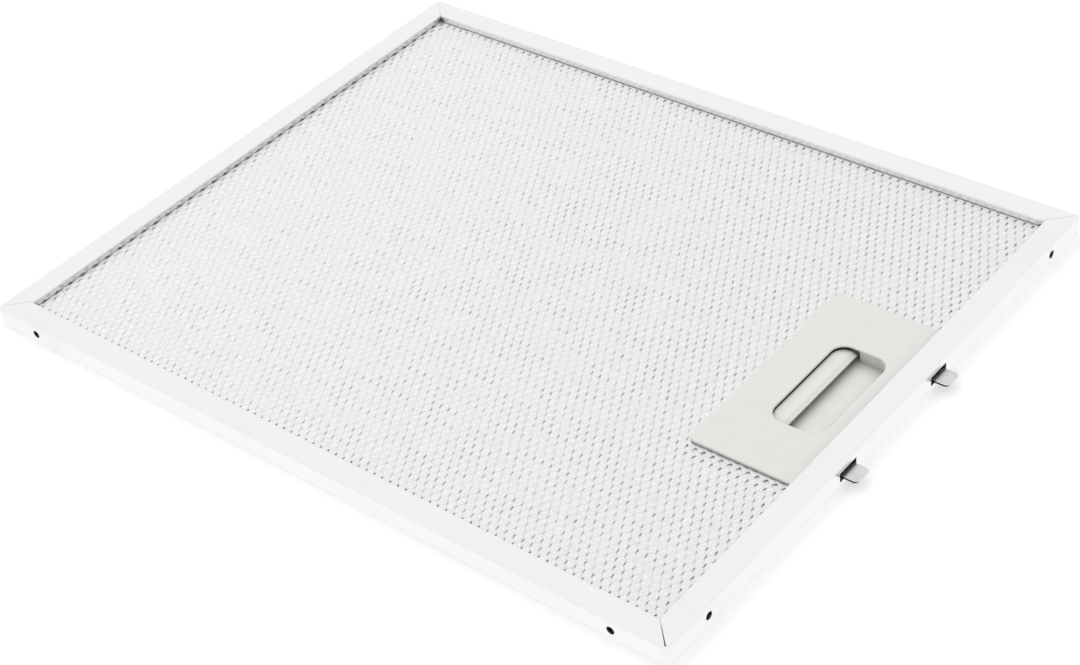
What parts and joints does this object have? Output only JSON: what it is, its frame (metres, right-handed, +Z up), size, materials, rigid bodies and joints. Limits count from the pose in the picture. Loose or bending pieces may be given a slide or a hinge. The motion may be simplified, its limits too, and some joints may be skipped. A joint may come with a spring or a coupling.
{
  "type": "cooker hood grease filter",
  "caption": "Flat rectangular grease filter: expanded aluminium mesh in a folded aluminium frame, with a sprung latch handle whose tongues hold it in a cooker hood.",
  "frame": {"origin": "on the resting plane under the middle of the whole filter, tongues included", "axes": "+X along the filter towards the latch edge and its tongues, +Y along the latch edge, +Z up out of the handle side"},
  "size_m": [0.326, 0.26, 0.0085],
  "materials": {
    "frame_aluminium": "satin, pale",
    "mesh_aluminium": "bright cut strands",
    "inner_mesh_aluminium": "satin foil",
    "handle_plastic": "fine matt moulding",
    "latch_plastic": "fine matt moulding",
    "tongue_steel": "satin, bright edges",
    "spring_steel": "drawn wire",
    "screw_steel": "zinc plated"
  },
  "bodies": {
    "filter": {"frame": "frame_aluminium", "front_face_mesh": "mesh_aluminium", "inner_mesh_layer_1": "inner_mesh_aluminium", "inner_mesh_layer_2": "inner_mesh_aluminium", "inner_mesh_layer_3": "inner_mesh_aluminium", "back_face_mesh": "mesh_aluminium", "handle_bezel": "handle_plastic", "handle_tray": "handle_plastic", "latch_spring_left": "spring_steel", "latch_spring_right": "spring_steel", "handle_screws": "screw_steel"},
    "latch": {"latch_slider": "latch_plastic", "latch_tongue_left": "tongue_steel", "latch_tongue_right": "tongue_steel"}
  },
  "joints": [
    {"name": "latch_slide", "type": "slide", "parent": "filter", "child": "latch", "axis": [-1, 0, 0], "range_m": [0, 0.0065], "stiffness_N_per_m": 400, "springref_m": -0.004, "deforming": ["latch_spring_left", "latch_spring_right"]}
  ]
}
